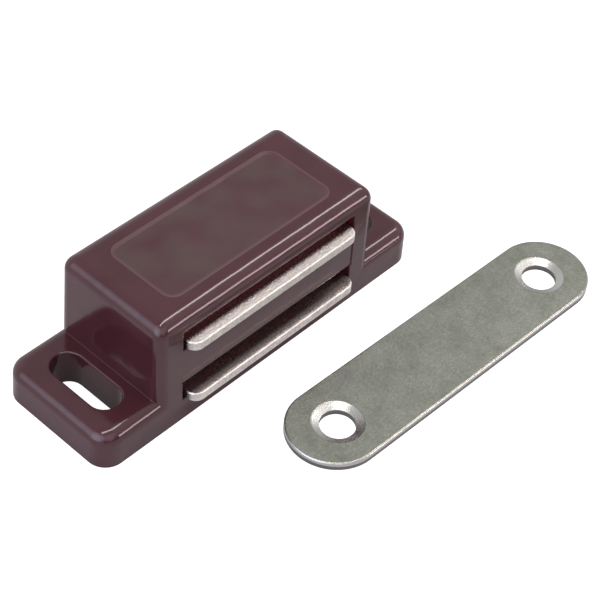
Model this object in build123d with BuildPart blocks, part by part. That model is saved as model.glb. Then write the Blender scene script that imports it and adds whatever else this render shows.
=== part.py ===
from build123d import *
import os
from math import cos, radians, sin

# A magnetic catch for a cabinet door, in millimetres.
# The moulded case has an ear at each end with a screw slot. A pack of one ferrite block between
# two steel pole plates floats inside it, and the plates poke out through two windows in the
# front. A flat strike plate for the door belongs to the set and lies beside the case.
# The origin is the centre of the case's underside: +X runs along its length, -Y is the front
# where the poles show, and +Z is up.

# ---- Driving dimensions ------------------------------------------------------------------

# Magnet pack: the block is magnetised through its height, and each plate carries one pole
magnet_length = 24.0
magnet_depth = 10.0
magnet_height = 6.25
magnet_edge_chamfer = 0.25
plate_length = 25.0
plate_depth = 13.0
plate_thickness = 1.15
plate_corner_radius = 1.25
plate_edge_round = 0.15
plate_burr_chamfer = 0.1
upper_plate_reach = 0.9
lower_plate_reach = 1.35

# Room around the pack: pack_travel is how far the plates can be pushed in
pack_travel = 0.8
side_play = 0.4
lift_play = 0.35
slide_gap = 0.05
stop_gap = 0.1
upper_window_headroom = 1.6
lower_window_headroom = 1.35
window_sill = 0.25
window_rim_fillet = 0.1

# Case
floor_thickness = 2.9
top_wall = 2.15
side_wall = 3.55
front_wall = 1.7
cover_depth = 2.7
ear_length = 7.55
ear_thickness = 4.55
draft_angle = 1.5
base_corner_radius = 2.35
ear_edge_fillet = 1.5
body_corner_radius = 1.5
body_edge_fillet = 1.6

# Screw slots, one in each ear, running across the case
slot_width = 3.7
slot_length = 9.3
slot_to_body = 1.075
slot_rim_fillet = 0.2

# Shallow recesses: the panel in the top, whose edge slopes down to its floor, and the strip
# between the windows
panel_end_margin = 3.85
panel_side_margin = 2.45
panel_corner_radius = 1.6
panel_depth = 0.1
panel_slope = 0.5
strip_depth = 0.12
strip_overlap = 0.2

# Back cover
rebate_border = 1.0
rebate_depth = 1.4
rebate_corner_radius = 1.5
cover_fit = 0.05
cover_rim = 1.6

# Strike plate
strike_length = 45.3
strike_width = 10.65
strike_thickness = 1.1
strike_hole_inset = 5.9
strike_hole_radius = 2.0
strike_sink_radius = 2.92
strike_sink_angle = 135
strike_edge_round = 0.2
strike_burr_chamfer = 0.12
strike_gap = 7.3
strike_shift = 14.8
strike_turn = -1.7

# ---- Worked out from them ----------------------------------------------------------------

pack_bottom = floor_thickness + slide_gap
magnet_bottom = pack_bottom + plate_thickness
upper_plate_bottom = magnet_bottom + magnet_height
pack_top = upper_plate_bottom + plate_thickness

pack_length = max(plate_length, magnet_length)
cavity_length = pack_length + 2 * side_play
cavity_height = slide_gap + pack_top - pack_bottom + lift_play
cavity_middle = floor_thickness + cavity_height / 2
upper_window_height = plate_thickness + upper_window_headroom
upper_window_bottom = upper_plate_bottom - window_sill
lower_window_height = plate_thickness + lower_window_headroom
lower_window_top = floor_thickness + lower_window_height

plate_tail = plate_depth - min(upper_plate_reach, lower_plate_reach)
magnet_tail = front_wall + stop_gap + magnet_depth
case_depth = max(plate_tail, magnet_tail) + pack_travel + stop_gap + cover_depth
case_height = upper_window_bottom + upper_window_height + top_wall
body_length = cavity_length + 2 * side_wall
case_length = body_length + 2 * ear_length
front_face = -case_depth / 2
cavity_front = front_face + front_wall
cover_seat = case_depth / 2 - rebate_depth
draft_lean = case_height * sin(radians(draft_angle))
slot_centre = body_length / 2 + slot_to_body + slot_width / 2

# The drafted front of the case, with its local Y running up the wall
front_plane = Plane(
    origin=(0, front_face, 0),
    x_dir=(1, 0, 0),
    z_dir=(0, -cos(radians(draft_angle)), sin(radians(draft_angle))),
)
front_axis = Axis(front_plane.origin, front_plane.z_dir)
back_plane = Plane(
    origin=(0, -front_face, 0),
    x_dir=(-1, 0, 0),
    z_dir=(0, cos(radians(draft_angle)), sin(radians(draft_angle))),
)
inner_front_plane = Plane.XZ.offset(-cavity_front)
cover_seat_plane = Plane.XZ.offset(-cover_seat)

# The strike plate lies flat in front of the case, turned a little
strike_plane = Plane(
    origin=(strike_shift, front_face - strike_gap - strike_width / 2, 0),
    x_dir=(cos(radians(strike_turn)), sin(radians(strike_turn)), 0),
    z_dir=(0, 0, 1),
)

# Each finished piece is written to a STEP file of its own
os.makedirs("parts", exist_ok=True)

# ---- Case --------------------------------------------------------------------------------

with BuildPart() as housing:
    # The low base: it shows as an ear at each end of the body
    with BuildSketch():
        RectangleRounded(case_length, case_depth, base_corner_radius)
    extrude(amount=ear_thickness, taper=draft_angle)
    fillet(housing.faces().sort_by(Axis.Z)[-1].edges(), ear_edge_fillet)

    # The raised body, flush with the ears at its front and back
    with BuildSketch():
        RectangleRounded(body_length, case_depth, body_corner_radius)
    extrude(amount=case_height, taper=draft_angle)
    fillet(housing.faces().sort_by(Axis.Z)[-1].edges(), body_edge_fillet)

    # The screw slots, open right through the ears
    with BuildSketch():
        with Locations((-slot_centre, 0), (slot_centre, 0)):
            SlotOverall(slot_length, slot_width, rotation=90)
    extrude(amount=case_height, mode=Mode.SUBTRACT)
    fillet(housing.edges(Select.LAST).group_by(Axis.Z)[-1], slot_rim_fillet)

    # The panel sunk into the top, lofted from its rim down to its smaller floor
    for depth, inset in ((0, 0), (panel_depth, panel_slope)):
        with BuildSketch(Plane.XY.offset(case_height - depth)):
            RectangleRounded(
                body_length - 2 * (draft_lean + panel_end_margin + inset),
                case_depth - 2 * (draft_lean + panel_side_margin + inset),
                panel_corner_radius - inset,
            )
    loft(ruled=True, mode=Mode.SUBTRACT)

    # The cavity for the magnet pack, cored from the back
    with BuildSketch(inner_front_plane):
        with Locations((0, cavity_middle)):
            Rectangle(cavity_length, cavity_height)
    extrude(amount=-case_depth, mode=Mode.SUBTRACT)

    # The rebate round the cavity's mouth that the back cover sits in
    with BuildSketch(cover_seat_plane):
        with Locations((0, cavity_middle)):
            RectangleRounded(
                cavity_length + 2 * rebate_border,
                cavity_height + 2 * rebate_border,
                rebate_corner_radius,
            )
    extrude(amount=-case_depth, mode=Mode.SUBTRACT)

    # The two windows for the pole plates
    with BuildSketch(inner_front_plane):
        for window_bottom, window_height in (
            (floor_thickness, lower_window_height),
            (upper_window_bottom, upper_window_height),
        ):
            with Locations((0, window_bottom + window_height / 2)):
                Rectangle(cavity_length, window_height)
    extrude(amount=2 * front_wall, mode=Mode.SUBTRACT)
    fillet(housing.edges(Select.LAST).group_by(front_axis)[-1], window_rim_fillet)

    # The strip between the windows lies a little below the front face
    with BuildSketch(front_plane):
        with Locations((0, (lower_window_top + upper_window_bottom) / 2)):
            Rectangle(
                cavity_length + 2 * strip_overlap,
                upper_window_bottom - lower_window_top,
            )
    extrude(amount=-strip_depth, mode=Mode.SUBTRACT)

housing.part.label = "housing"
export_step(housing.part, "parts/housing.step")

# ---- Back cover --------------------------------------------------------------------------

with BuildPart() as back_cover:
    # The plate that fills the rebate, cut flush with the drafted back of the case
    with BuildSketch(cover_seat_plane):
        with Locations((0, cavity_middle)):
            RectangleRounded(
                cavity_length + 2 * (rebate_border - cover_fit),
                cavity_height + 2 * (rebate_border - cover_fit),
                rebate_corner_radius - cover_fit,
            )
    extrude(amount=-2 * rebate_depth)
    split(bisect_by=back_plane, keep=Keep.BOTTOM)

    # The rim that plugs the cavity's mouth and stops the pole plates
    with BuildSketch(cover_seat_plane):
        with Locations((0, cavity_middle)):
            Rectangle(cavity_length - 2 * cover_fit, cavity_height - 2 * cover_fit)
            Rectangle(
                cavity_length - 2 * cover_rim,
                cavity_height - 2 * cover_rim,
                mode=Mode.SUBTRACT,
            )
    extrude(amount=cover_depth - rebate_depth)

back_cover.part.label = "back_cover"
export_step(back_cover.part, "parts/back_cover.step")

# ---- Magnet pack -------------------------------------------------------------------------

with BuildPart() as magnet:
    with BuildSketch(Plane.XY.offset(magnet_bottom)):
        with Locations((0, cavity_front + stop_gap + magnet_depth / 2)):
            Rectangle(magnet_length, magnet_depth)
    extrude(amount=magnet_height)
    chamfer(magnet.edges(), magnet_edge_chamfer)

magnet.part.label = "magnet"
export_step(magnet.part, "parts/magnet.step")

# The two pole plates are alike, apart from how far they reach out of the case
for side, bottom, reach in (
    ("lower", pack_bottom, lower_plate_reach),
    ("upper", upper_plate_bottom, upper_plate_reach),
):
    with BuildPart() as pole_plate:
        with BuildSketch(Plane.XY.offset(bottom)):
            with Locations((0, front_face - reach + plate_depth / 2)):
                RectangleRounded(plate_length, plate_depth, plate_corner_radius)
        extrude(amount=plate_thickness)
        fillet(pole_plate.edges().group_by(Axis.Z)[-1], plate_edge_round)
        chamfer(pole_plate.edges().group_by(Axis.Z)[0], plate_burr_chamfer)
    pole_plate.part.label = f"{side}_pole_plate"
    export_step(pole_plate.part, f"parts/{side}_pole_plate.step")

# ---- Strike plate ------------------------------------------------------------------------

with BuildPart() as strike_plate:
    with BuildSketch(strike_plane):
        SlotOverall(strike_length, strike_width)
    extrude(amount=strike_thickness)
    fillet(strike_plate.edges().group_by(Axis.Z)[-1], strike_edge_round)
    chamfer(strike_plate.edges().group_by(Axis.Z)[0], strike_burr_chamfer)
    with Locations(strike_plane.offset(strike_thickness)):
        with GridLocations(strike_length - 2 * strike_hole_inset, 0, 2, 1):
            CounterSinkHole(
                strike_hole_radius,
                strike_sink_radius,
                counter_sink_angle=strike_sink_angle,
            )

strike_plate.part.label = "strike_plate"
export_step(strike_plate.part, "parts/strike_plate.step")
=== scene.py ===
# %% [markdown]
# # Dressing a magnetic catch
# A magnetic catch keeps a cabinet door shut. Its moulded case holds a ferrite magnet between two steel
# pole plates, and a flat steel strike plate goes on the door. The solids come from CAD and already have
# their true shape, down to the rounded edges, so this script gives them their finishes, a floor, the
# lamps and a camera. Everything is in metres, in the same frame as the solids. The Standard view shows
# colours as they are written, with no film look on top.

# %% The frame and the size it has
from math import cos, pi, radians, tan

import bmesh
import bpy
from mathutils import Matrix, Vector


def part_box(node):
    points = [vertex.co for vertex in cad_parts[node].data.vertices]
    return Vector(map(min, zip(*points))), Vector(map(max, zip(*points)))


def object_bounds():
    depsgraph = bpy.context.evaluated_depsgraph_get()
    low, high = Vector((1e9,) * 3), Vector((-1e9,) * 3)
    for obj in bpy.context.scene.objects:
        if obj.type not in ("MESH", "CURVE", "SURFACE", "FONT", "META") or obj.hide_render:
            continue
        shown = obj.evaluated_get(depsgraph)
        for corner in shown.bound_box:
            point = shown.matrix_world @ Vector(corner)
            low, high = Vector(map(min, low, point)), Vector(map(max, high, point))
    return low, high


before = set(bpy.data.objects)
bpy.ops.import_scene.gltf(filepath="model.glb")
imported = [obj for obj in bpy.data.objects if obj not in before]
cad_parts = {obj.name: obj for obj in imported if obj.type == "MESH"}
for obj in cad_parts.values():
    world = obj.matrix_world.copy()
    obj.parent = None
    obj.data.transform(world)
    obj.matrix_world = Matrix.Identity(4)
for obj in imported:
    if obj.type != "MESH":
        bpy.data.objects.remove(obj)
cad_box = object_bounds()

MM = 0.001
scene = bpy.context.scene
scene.view_settings.view_transform = "Standard"
print("nodes:", sorted(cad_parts))
print("size in mm:", [round(side / MM, 1) for side in cad_box[1] - cad_box[0]])

# %% [markdown]
# ## Camera
# A small product is best shown with a long lens, which keeps its parallel edges nearly parallel. The
# camera looks down on the front left corner from 45 degrees, so the top, the front with its poles and
# the slotted ear all show at once. It could be placed by its own coordinates, but it is easier to set up
# like a tripod: the point it aims at, how far away it stands, from which side and how high, and how much
# it is tilted to one side.

# %% Camera
camera_aim = Vector((7.34, -5.61, 2.16)) * MM
camera_distance = 196.4 * MM
camera_azimuth = radians(-51.11)
camera_elevation = radians(45.45)
camera_roll = radians(6.13)


def direction(azimuth, elevation):
    """The unit vector that points from the object to something at that side and height."""
    turned = Matrix.Rotation(azimuth, 3, "Z") @ Matrix.Rotation(-elevation, 3, "X")
    return turned @ Vector((0, -1, 0))


lens = bpy.data.cameras.new("portrait_lens")
lens.sensor_width = 36
lens.lens = 105.87
lens.clip_start = 5 * MM
camera = bpy.data.objects.new("portrait_camera", lens)
scene.collection.objects.link(camera)
scene.camera = camera
backwards = direction(camera_azimuth, camera_elevation)
facing = backwards.to_track_quat("Z", "Y").to_matrix() @ Matrix.Rotation(camera_roll, 3, "Z")
camera.matrix_world = Matrix.Translation(camera_aim + backwards * camera_distance) @ facing.to_4x4()
print("camera at", [round(side / MM, 1) for side in camera.location], "mm")

# %% [markdown]
# ## Node helpers
# A finish is a small network of shader nodes. It could be wired node by node, but a few helpers keep the
# networks short and readable: one adds a node and fills its inputs, by name, with numbers or with links
# from other nodes, and the others do arithmetic on masks, mix two colours and stack bumps.

# %% Adding a node


def add(tree, kind, inputs=None, **settings):
    """Adds a node of this kind, sets its options, and fills inputs with values or with sockets."""
    made = tree.nodes.new(kind)
    for name, value in settings.items():
        setattr(made, name, value)
    for name, value in (inputs or {}).items():
        if isinstance(value, bpy.types.NodeSocket):
            tree.links.new(value, made.inputs[name])
        else:
            made.inputs[name].default_value = value
    return made


# %% Arithmetic on masks


def maths(tree, operation, *values):
    """One arithmetic step on numbers or sockets."""
    return add(tree, "ShaderNodeMath", dict(enumerate(values)), operation=operation).outputs[0]


def product(tree, first, *others):
    """Multiplies masks: the result is 1 only where all of them are."""
    for other in others:
        first = maths(tree, "MULTIPLY", first, other)
    return first


def spread(tree, value, low, high, to_low=0.0, to_high=1.0):
    """Stretches the range low..high of a value to to_low..to_high, and cuts off what is outside."""
    inputs = {"Value": value, "From Min": low, "From Max": high, "To Min": to_low, "To Max": to_high}
    return add(tree, "ShaderNodeMapRange", inputs, clamp=True).outputs["Result"]


# %% Colours and bumps


def mixed(tree, mask, first, second):
    """The first colour where the mask is 0, and the second where it is 1."""
    blend = add(tree, "ShaderNodeMix", data_type="RGBA")
    factor, first_input, second_input = blend.inputs[0], blend.inputs[6], blend.inputs[7]
    tree.links.new(mask, factor)
    for socket, colour in ((first_input, first), (second_input, second)):
        if isinstance(colour, bpy.types.NodeSocket):
            tree.links.new(colour, socket)
        else:
            socket.default_value = (*colour, 1)
    return blend.outputs[2]


def bumped(tree, height, distance, normal, strength=1.0):
    """Tilts a normal as if the surface stood out by this distance where the height is 1."""
    inputs = {"Height": height, "Distance": distance, "Strength": strength, "Normal": normal}
    return add(tree, "ShaderNodeBump", inputs).outputs["Normal"]


# %% Making and using groups


def new_group(name, inputs, outputs):
    """An empty node group with named sockets. Returns it with its input and output nodes."""
    group = bpy.data.node_groups.new(name, "ShaderNodeTree")
    for socket_name, kind, value in inputs:
        socket = group.interface.new_socket(socket_name, in_out="INPUT", socket_type=kind)
        if value is not None:
            socket.default_value = value
    for socket_name, kind in outputs:
        group.interface.new_socket(socket_name, in_out="OUTPUT", socket_type=kind)
    return group, add(group, "NodeGroupInput").outputs, add(group, "NodeGroupOutput").inputs


def use(tree, group, **inputs):
    """Places a node group in a material and returns its outputs. An underscore stands for a space."""
    values = {name.replace("_", " "): value for name, value in inputs.items()}
    return add(tree, "ShaderNodeGroup", values, node_tree=group).outputs


# %% [markdown]
# ## Effects that several finishes share
# Three effects turn up in more than one finish, so each is a node group that is built once.
# *Cloudy tone* is a soft noise of a chosen size, for uneven colour and slow waves in a surface.
# *Fine grain* is the tiny tumbled texture of plated steel and pressed ferrite. *Soft edges* rounds a
# corner by about a tenth of a millimetre in the shading alone, and tells where the corners are, so that
# they catch the light as real corners do. A bevel in the mesh would do the same with many more faces.

# %% Cloudy tone
SCALAR = "NodeSocketFloat"
VECTOR = "NodeSocketVector"

cloudy_tone, given, result = new_group(
    "cloudy_tone",
    [("Place", VECTOR, None), ("Size", SCALAR, 0.005), ("Detail", SCALAR, 3.0), ("Contrast", SCALAR, 0.25)],
    [("Tone", SCALAR)],
)
scale = maths(cloudy_tone, "DIVIDE", 1.0, given["Size"])
noise = add(
    cloudy_tone,
    "ShaderNodeTexNoise",
    {"Vector": given["Place"], "Scale": scale, "Detail": given["Detail"], "Roughness": 0.55},
)
low = maths(cloudy_tone, "SUBTRACT", 0.5, given["Contrast"])
high = maths(cloudy_tone, "ADD", 0.5, given["Contrast"])
cloudy_tone.links.new(spread(cloudy_tone, noise.outputs["Fac"], low, high), result["Tone"])
print("group", cloudy_tone.name, "has", len(cloudy_tone.nodes), "nodes")

# %% Fine grain
speck_starts = 0.4
speck_full = 0.65

fine_grain, given, result = new_group(
    "fine_grain",
    [("Place", VECTOR, None), ("Size", SCALAR, 0.0002), ("Sharpness", SCALAR, 0.5)],
    [("Height", SCALAR), ("Speck", SCALAR)],
)
scale = maths(fine_grain, "DIVIDE", 1.0, given["Size"])
pits = add(fine_grain, "ShaderNodeTexVoronoi", {"Vector": given["Place"], "Scale": scale})
dust = add(
    fine_grain,
    "ShaderNodeTexNoise",
    {"Vector": given["Place"], "Scale": scale, "Detail": 4.0, "Roughness": 0.7},
).outputs["Fac"]
pit_share = maths(fine_grain, "MULTIPLY", pits.outputs["Distance"], given["Sharpness"])
fine_grain.links.new(maths(fine_grain, "ADD", pit_share, dust), result["Height"])
fine_grain.links.new(spread(fine_grain, dust, speck_starts, speck_full), result["Speck"])
print("group", fine_grain.name, "has", len(fine_grain.nodes), "nodes")

# %% Soft edges
still_flat = 0.98
well_rounded = 0.8

soft_edges, given, result = new_group(
    "soft_edges",
    [("Radius", SCALAR, 0.0001)],
    [("Normal", VECTOR), ("Edge", SCALAR)],
)
rounded = add(soft_edges, "ShaderNodeBevel", {"Radius": given["Radius"]}, samples=6).outputs["Normal"]
flat = add(soft_edges, "ShaderNodeNewGeometry").outputs["Normal"]
likeness = add(soft_edges, "ShaderNodeVectorMath", {0: rounded, 1: flat}, operation="DOT_PRODUCT")
edge = spread(soft_edges, likeness.outputs["Value"], still_flat, well_rounded)
soft_edges.links.new(rounded, result["Normal"])
soft_edges.links.new(edge, result["Edge"])
print("group", soft_edges.name, "has", len(soft_edges.nodes), "nodes")

# %% [markdown]
# ## Starting and ending a finish
# Every finish starts from the same three things: an empty material, the object's own coordinates, and a
# Principled shader. The numbers that stay the same all over the surface are set on the shader itself.
# Every finish ends with the three things that change over the surface: its colour, how rough it is, and
# the way it faces. Then it is put into the material slots of its CAD nodes.

# %% Starting a finish


def new_finish(name, **constants):
    """A material with a Principled shader. Returns its tree, its shader and the place on the object."""
    material = bpy.data.materials.new(name)
    material.use_nodes = True
    tree = material.node_tree
    tree.nodes.clear()
    values = {socket.replace("_", " "): value for socket, value in constants.items()}
    shader = add(tree, "ShaderNodeBsdfPrincipled", values)
    add(tree, "ShaderNodeOutputMaterial", {"Surface": shader.outputs["BSDF"]})
    place = add(tree, "ShaderNodeTexCoord").outputs["Object"]
    return tree, shader, place


# %% Ending a finish


def end_finish(tree, shader, colour, roughness, normal):
    """Feeds what changes over the surface into the shader."""
    tree.links.new(colour, shader.inputs["Base Color"])
    tree.links.new(roughness, shader.inputs["Roughness"])
    tree.links.new(normal, shader.inputs["Normal"])


def dress(name, *nodes):
    """Gives the material of that name to these CAD nodes."""
    for node in nodes:
        for material_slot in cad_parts[node].material_slots:
            material_slot.material = bpy.data.materials[name]
        print(name, "goes on", node)


# %% [markdown]
# ## Moulded case
# The case is injection moulded in a dark maroon plastic. The outside comes from a polished mould, so it
# is glossy, with the slow waves that a moulded wall always has. Two places differ: the cored walls inside
# the windows are redder, and the sunk panel in the top was left duller and a little hazy. Those places
# could be painted by hand, or get a material slot of their own. Here masks find them from the object's
# coordinates, because they need no unwrapping and blend softly.

# %% Inside the windows
case_low, case_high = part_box("housing")
lower_low, lower_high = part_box("lower_pole_plate")
upper_low, upper_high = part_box("upper_pole_plate")
window_depth = 0.8 * MM
cover_seat = 1.5 * MM
window_side = 0.45 * MM
window_sill = 0.1 * MM
window_headroom = 1.4 * MM


def inside_the_windows(tree, x, y, z):
    """1 on the cored walls between the windows and the back cover, and 0 on the outside."""
    return product(
        tree,
        maths(tree, "GREATER_THAN", y, case_low.y + window_depth),
        maths(tree, "LESS_THAN", y, case_high.y - cover_seat),
        maths(tree, "LESS_THAN", maths(tree, "ABSOLUTE", x), upper_high.x + window_side),
        maths(tree, "GREATER_THAN", z, lower_low.z - window_sill),
        maths(tree, "LESS_THAN", z, upper_high.z + window_headroom),
    )


print("the walls inside are redder up to", round((upper_high.z + window_headroom) / MM, 2), "mm")

# %% The sunk panel
panel_half_length = 12.2 * MM
panel_half_depth = 5.0 * MM
panel_depth = 0.1 * MM
slope_starts = 0.03
slope_fades = 0.15


def panel_masks(tree, x, y, z):
    """How far down each point lies in the panel, and where the slope along its edge is."""
    sunk = spread(tree, z, case_high.z, case_high.z - panel_depth)
    in_length = maths(tree, "LESS_THAN", maths(tree, "ABSOLUTE", x), panel_half_length)
    in_depth = maths(tree, "LESS_THAN", maths(tree, "ABSOLUTE", y), panel_half_depth)
    panel = product(tree, in_length, in_depth, sunk)
    below_rim = maths(tree, "GREATER_THAN", panel, slope_starts)
    slope = product(tree, below_rim, spread(tree, sunk, slope_fades, 1.0, 1.0, 0.0))
    return panel, slope


print("the panel's floor is at", round((case_high.z - panel_depth) / MM, 2), "mm")

# %% [markdown]
# ## Colour, gloss and surface of the moulding
# Moulded plastic is coloured all through, so one flat colour would nearly do, but it would look drawn.
# A faint cloud between two close maroons is enough to make it real. Its gloss says more: handling leaves
# it slightly uneven, and the panel is cloudy. The slow waves could be modelled, but they are only
# hundredths of a millimetre high, so a bump is right for them. The back cover is the same plastic from a
# plainer mould, and a little duller all over.

# %% Moulded colour
maroon_deep = (0.042, 0.0100, 0.0148)
maroon_light = (0.055, 0.0150, 0.0205)
maroon_inside = (0.105, 0.0125, 0.0190)
maroon_hazed = (0.054, 0.0270, 0.0275)
# Painted highlight: this pale maroon on the panel's sloped edge stands in for the light that its rim
# catches.
maroon_painted_highlight = (0.090, 0.0400, 0.0460)


def moulded_colour(tree, place, inside, panel, slope):
    """A slightly uneven maroon, redder inside, hazy in the panel, and with a painted highlight along the
    panel's edge.
    """
    tone = use(tree, cloudy_tone, Place=place, Size=7.0 * MM, Detail=2.0, Contrast=0.2)["Tone"]
    haze = use(tree, cloudy_tone, Place=place, Size=4.0 * MM, Detail=1.5, Contrast=0.16)["Tone"]
    colour = mixed(tree, tone, maroon_deep, maroon_light)
    colour = mixed(tree, inside, colour, maroon_inside)
    colour = mixed(tree, product(tree, panel, haze), colour, maroon_hazed)
    # The pale line along the panel's sloped edge is a painted highlight.
    return mixed(tree, slope, colour, maroon_painted_highlight)


# %% Moulded gloss
smear_strength = 0.05
least_dull = 0.6
most_dull = 1.3


def moulded_roughness(tree, place, panel, polished, dull):
    """Polished with faint smears on the outside, and cloudy and duller down in the panel."""
    smear = use(tree, cloudy_tone, Place=place, Size=3.0 * MM, Detail=4.0, Contrast=0.3)["Tone"]
    blotch = use(tree, cloudy_tone, Place=place, Size=4.5 * MM, Detail=1.0, Contrast=0.3)["Tone"]
    smeared = spread(tree, smear, 0.0, 1.0, polished, polished + smear_strength)
    extra = spread(tree, blotch, 0.0, 1.0, least_dull * (dull - polished), most_dull * (dull - polished))
    return maths(tree, "MULTIPLY_ADD", panel, extra, smeared)


# %% Moulded surface
wave_height = 0.05 * MM
skin_height = 0.0006 * MM


def moulded_normal(tree, place):
    """Softened edges, the slow waves of a cooled wall, and the fine skin of the mould."""
    edges = use(tree, soft_edges, Radius=0.12 * MM)
    wave = use(tree, cloudy_tone, Place=place, Size=2.8 * MM, Detail=1.5, Contrast=0.5)["Tone"]
    skin = use(tree, cloudy_tone, Place=place, Size=0.7 * MM, Detail=2.0, Contrast=0.5)["Tone"]
    return bumped(tree, skin, skin_height, bumped(tree, wave, wave_height, edges["Normal"]))


# %% Moulded finish


def moulded_finish(name, polished, dull):
    """Moulded maroon plastic, with the roughness of its outside and of its panel."""
    tree, shader, place = new_finish(name, IOR=1.55)
    x, y, z = add(tree, "ShaderNodeSeparateXYZ", {"Vector": place}).outputs
    inside = inside_the_windows(tree, x, y, z)
    panel, slope = panel_masks(tree, x, y, z)
    colour = moulded_colour(tree, place, inside, panel, slope)
    roughness = moulded_roughness(tree, place, panel, polished, dull)
    end_finish(tree, shader, colour, roughness, moulded_normal(tree, place))
    print(name, "has", len(tree.nodes), "nodes")


moulded_finish("moulded_maroon", polished=0.10, dull=0.30)
dress("moulded_maroon", "housing")
moulded_finish("moulded_cover", polished=0.16, dull=0.16)
dress("moulded_cover", "back_cover")

# %% [markdown]
# ## Pole plates
# The pole plates are punched from steel strip and nickel plated in a barrel. The plating is bright and
# slightly warm. It stays smooth inside the case, but every closing of the door scuffs the poles along
# their front, more on the upper plate than on the lower one. The scuffs are grainy and break the light
# into sparkles. A second material on the front faces would end in a hard line. Instead a mask in the
# object's coordinates tells how far the scuffs reach back, and noise frays its end.

# %% Nickel colour
nickel_bright = (0.97, 0.94, 0.895)
nickel_dull = (0.55, 0.52, 0.49)
nickel_specks = 0.6

tree, shader, place = new_finish("nickel_plate", Metallic=1.0)
grain = use(tree, fine_grain, Place=place, Size=0.26 * MM, Sharpness=0.6)
cloud = use(tree, cloudy_tone, Place=place, Size=1.2 * MM, Detail=4.0, Contrast=0.25)["Tone"]
cloudy_part = maths(tree, "MULTIPLY", cloud, 1 - nickel_specks)
tone = maths(tree, "MULTIPLY_ADD", grain["Speck"], nickel_specks, cloudy_part)
colour = mixed(tree, tone, nickel_dull, nickel_bright)
print("the nickel's tone is", nickel_specks, "specks, and the rest is clouds")

# %% [markdown]
# ## Scuffs on the poles
# The height tells the two plates apart, so one material serves both: the scuffs end further back on the
# upper plate. Inside the scuffs the nickel is rougher and its grain is deeper, and beyond them the same
# grain is nearly polished away.

# %% Scuffed fronts
upper_scuff = 1.05 * MM
lower_scuff = 0.36 * MM
fray_width = 0.45 * MM
fray_blur = 0.15 * MM

fray = use(tree, fine_grain, Place=place, Size=0.14 * MM, Sharpness=0.6)["Speck"]
where = add(tree, "ShaderNodeSeparateXYZ", {"Vector": place}).outputs
lower_end = lower_low.y + lower_scuff
upper_end = upper_low.y + upper_scuff
scuff_end = spread(tree, where["Z"], lower_high.z, upper_low.z, lower_end, upper_end)
reach = maths(tree, "SUBTRACT", scuff_end, where["Y"])
frayed = maths(tree, "MULTIPLY_ADD", maths(tree, "SUBTRACT", fray, 0.5), fray_width, reach)
scuffed = spread(tree, frayed, -fray_blur, fray_blur)
print("scuffs end at", round(lower_end / MM, 2), "and", round(upper_end / MM, 2), "mm")

# %% Nickel gloss and grain
smooth_grain = 0.15
nickel_grain = 0.035 * MM

scuff_roughness = spread(tree, tone, 0.0, 1.0, 0.56, 0.43)
smooth_roughness = spread(tree, tone, 0.0, 1.0, 0.30, 0.19)
difference = maths(tree, "SUBTRACT", scuff_roughness, smooth_roughness)
roughness = maths(tree, "MULTIPLY_ADD", scuffed, difference, smooth_roughness)
edges = use(tree, soft_edges, Radius=0.06 * MM)
strength = spread(tree, scuffed, 0.0, 1.0, smooth_grain, 1.0)
normal = bumped(tree, grain["Height"], nickel_grain, edges["Normal"], strength)
end_finish(tree, shader, colour, roughness, normal)
dress("nickel_plate", "upper_pole_plate", "lower_pole_plate")

# %% [markdown]
# ## Strike plate
# The strike plate is steel strip too, but its flat faces are left as rolled and only thinly plated. They
# are a satin grey with a cloudy, slightly greenish mottle, and with short marks across the strip. The
# punch cuts the upper part of each edge clean and tears the rest, so the cut and countersunk faces shine
# near the top and turn dull below. The height above the floor tells the three apart, with no need to
# select faces.

# %% Rolled mottle
strip_dark = (0.18, 0.20, 0.16)
strip_light = (0.47, 0.475, 0.43)
strip_streaks = 0.2
strip_clouds = 0.45
strip_specks = 0.35
streak_squeeze = (1.0, 0.22, 1.0)

tree, shader, place = new_finish("rolled_steel", Metallic=1.0)
squeezed = add(tree, "ShaderNodeMapping", {"Vector": place, "Scale": streak_squeeze}).outputs["Vector"]
cloud = use(tree, cloudy_tone, Place=place, Size=2.6 * MM, Detail=5.0, Contrast=0.24)["Tone"]
streak = use(tree, cloudy_tone, Place=squeezed, Size=0.45 * MM, Detail=3.0, Contrast=0.25)["Tone"]
grain = use(tree, fine_grain, Place=place, Size=0.30 * MM, Sharpness=0.3)
mottle = maths(tree, "MULTIPLY_ADD", streak, strip_streaks, maths(tree, "MULTIPLY", cloud, strip_clouds))
mottle = maths(tree, "MULTIPLY_ADD", grain["Speck"], strip_specks, mottle)
rolled_colour = mixed(tree, mottle, strip_dark, strip_light)
print("the mottle is", strip_clouds, "clouds,", strip_specks, "specks and", strip_streaks, "streaks")

# %% Punched edges
strip_bright = (0.56, 0.56, 0.54)
strip_torn = (0.19, 0.19, 0.18)
strike_low, strike_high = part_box("strike_plate")
cut_starts = 0.01 * MM
cut_full = 0.06 * MM
tear_starts = 0.42 * MM
tear_full = 0.52 * MM

height = add(tree, "ShaderNodeSeparateXYZ", {"Vector": place}).outputs["Z"]
cut = spread(tree, height, strike_high.z - cut_starts, strike_high.z - cut_full)
torn = spread(tree, height, strike_high.z - tear_starts, strike_high.z - tear_full)
colour = mixed(tree, cut, rolled_colour, mixed(tree, torn, strip_bright, strip_torn))
print("strike plate is", round((strike_high.z - strike_low.z) / MM, 2), "mm thick")

# %% Rolled gloss and grain
strip_grain = 0.014 * MM

roughness = spread(tree, mottle, 0.0, 1.0, 0.32, 0.24)
edges = use(tree, soft_edges, Radius=0.05 * MM)
normal = bumped(tree, grain["Height"], strip_grain, edges["Normal"])
end_finish(tree, shader, colour, roughness, normal)
dress("rolled_steel", "strike_plate")

# %% [markdown]
# ## Ferrite magnet
# A ferrite magnet is pressed and fired like a ceramic. It is a dull charcoal grey with a fine grain and
# worn, slightly lighter edges. It is hidden until the case is opened, but a stranger may take the model
# apart, so it gets a finish of its own from the same shared effects.

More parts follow.
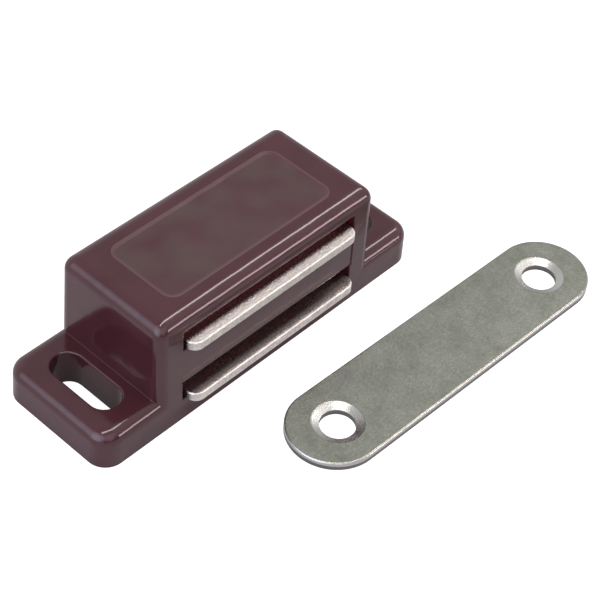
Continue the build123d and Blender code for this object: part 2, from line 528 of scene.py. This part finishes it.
# %% Ferrite magnet
ferrite_dark = (0.035, 0.034, 0.036)
ferrite_worn = (0.11, 0.105, 0.10)
ferrite_grain = 0.012 * MM

tree, shader, place = new_finish("fired_ferrite", IOR=1.6)
grain = use(tree, fine_grain, Place=place, Size=0.12 * MM, Sharpness=0.7)
edges = use(tree, soft_edges, Radius=0.15 * MM)
colour = mixed(tree, product(tree, edges["Edge"], grain["Speck"]), ferrite_dark, ferrite_worn)
roughness = spread(tree, grain["Speck"], 0.0, 1.0, 0.75, 0.55)
normal = bumped(tree, grain["Height"], ferrite_grain, edges["Normal"])
end_finish(tree, shader, colour, roughness, normal)
dress("fired_ferrite", "magnet")

# %% [markdown]
# ## Floor
# The catch lies on a sheet of white paper, which takes its soft shadow. The paper has to look white in
# the picture, but white paper under lamps would also throw a lot of light back at the catch. So the paper
# itself is a plain grey, and it glows towards the camera, and a little towards reflected and transmitted
# rays. The catch gets no more light from that glow.

# %% Floor sheet
floor_radius = 0.6
floor_drop = 0.01 * MM

sheet = bmesh.new()
bmesh.ops.create_circle(sheet, cap_ends=True, segments=96, radius=floor_radius)
bmesh.ops.translate(sheet, verts=sheet.verts, vec=(0, 0, cad_box[0].z - floor_drop))
floor_mesh = bpy.data.meshes.new("paper_floor")
sheet.to_mesh(floor_mesh)
sheet.free()
floor = bpy.data.objects.new("paper_floor", floor_mesh)
scene.collection.objects.link(floor)
print("floor is", 2 * floor_radius, "m across")

# %% White paper
paper_grey = (0.44, 0.44, 0.44, 1)
camera_glow = 0.88
mirror_glow = 0.12

paper = bpy.data.materials.new("white_paper")
paper.use_nodes = True
tree = paper.node_tree
tree.nodes.clear()
lit = add(tree, "ShaderNodeBsdfDiffuse", {"Color": paper_grey})
rays = add(tree, "ShaderNodeLightPath").outputs
mirrored = maths(tree, "MAXIMUM", rays["Is Glossy Ray"], rays["Is Transmission Ray"])
glow_seen = maths(tree, "MULTIPLY", rays["Is Camera Ray"], camera_glow)
strength = maths(tree, "MULTIPLY_ADD", mirrored, mirror_glow, glow_seen)
glow = add(tree, "ShaderNodeEmission", {"Strength": strength})
both = add(tree, "ShaderNodeAddShader", {0: lit.outputs["BSDF"], 1: glow.outputs["Emission"]})
add(tree, "ShaderNodeOutputMaterial", {"Surface": both.outputs["Shader"]})
floor_mesh.materials.append(paper)
print("paper glows", camera_glow, "to the camera and", mirror_glow, "in mirrors")

# %% [markdown]
# ## Light
# A pale room gives most of the light. It is brighter behind the catch than in front of it, so the front
# stays darker than the top. A glossy thing is drawn by what it mirrors, so the room holds three soft
# screens: the rounded left end mirrors a cool one, and the rounded front edge mirrors the other two.
# Area lamps could do this too, but a screen that is part of the room fades out softly at its rim.
# Two long strip boxes do the rest, one overhead and one low on the right. The rounded front edge mirrors
# each as a thin bright line, and the scuffs on the poles catch the one overhead.

# %% The room
strength_in_front = 0.15
strength_behind = 0.80

world = bpy.data.worlds.new("pale_room")
scene.world = world
world.use_nodes = True
tree = world.node_tree
sky = add(tree, "ShaderNodeTexCoord").outputs["Generated"]
towards_back = add(tree, "ShaderNodeSeparateXYZ", {"Vector": sky}).outputs["Y"]
light = spread(tree, towards_back, -0.4, 0.9, strength_in_front, strength_behind)
print("the room goes from", strength_in_front, "in front to", strength_behind, "behind")

# %% Soft screens
# Each has a direction, the angles of its full core and of its rim in degrees, and its colour
soft_screens = {
    "left_screen": ((-0.90, 0.0, 0.42), 10, 42, (2.4, 2.5, 3.0)),
    "front_screen": ((-0.25, -0.66, 0.62), 12, 38, (1.2, 1.10, 1.20)),
    "right_screen": ((0.68, -0.36, 0.64), 20, 44, (0.75, 0.72, 0.71)),
}

for name, (towards, core, rim, colour) in soft_screens.items():
    aimed = {0: sky, 1: Vector(towards).normalized()}
    closeness = add(tree, "ShaderNodeVectorMath", aimed, operation="DOT_PRODUCT").outputs["Value"]
    share = spread(tree, closeness, cos(radians(rim)), cos(radians(core)))
    screen = add(tree, "ShaderNodeVectorMath", {0: colour, "Scale": share}, operation="SCALE")
    added = add(tree, "ShaderNodeVectorMath", {0: screen.outputs[0], 1: light}, operation="ADD")
    light = added.outputs[0]
    print(name, "is", 2 * rim, "degrees across")
tree.links.new(light, tree.nodes["Background"].inputs["Color"])

# %% Strip boxes
lamp_distance = 1.0


def strip_box(name, towards, wide, high, radiance, colour):
    """A long lamp that lies along X, seen from the object in that direction, so many degrees large."""
    lamp = bpy.data.lights.new(name, "AREA")
    lamp.shape = "RECTANGLE"
    lamp.size = 2 * lamp_distance * tan(radians(wide) / 2)
    lamp.size_y = 2 * lamp_distance * tan(radians(high) / 2)
    lamp.energy = radiance * pi * lamp.size * lamp.size_y
    lamp.color = colour
    placed = bpy.data.objects.new(name, lamp)
    scene.collection.objects.link(placed)
    towards = Vector(towards).normalized()
    along = (Vector((1, 0, 0)) - towards * towards.x).normalized()
    turned = Matrix((along, towards.cross(along), towards)).transposed()
    placed.matrix_world = Matrix.Translation(towards * lamp_distance) @ turned.to_4x4()
    print(name, "has", round(lamp.energy, 2), "W")


strip_box("high_strip", (0.26, -0.02, 0.966), wide=70, high=8, radiance=10.5, colour=(1.0, 0.92, 0.90))
strip_box("low_strip", (0.546, -0.811, 0.213), wide=24, high=11, radiance=8, colour=(1.0, 0.82, 0.84))
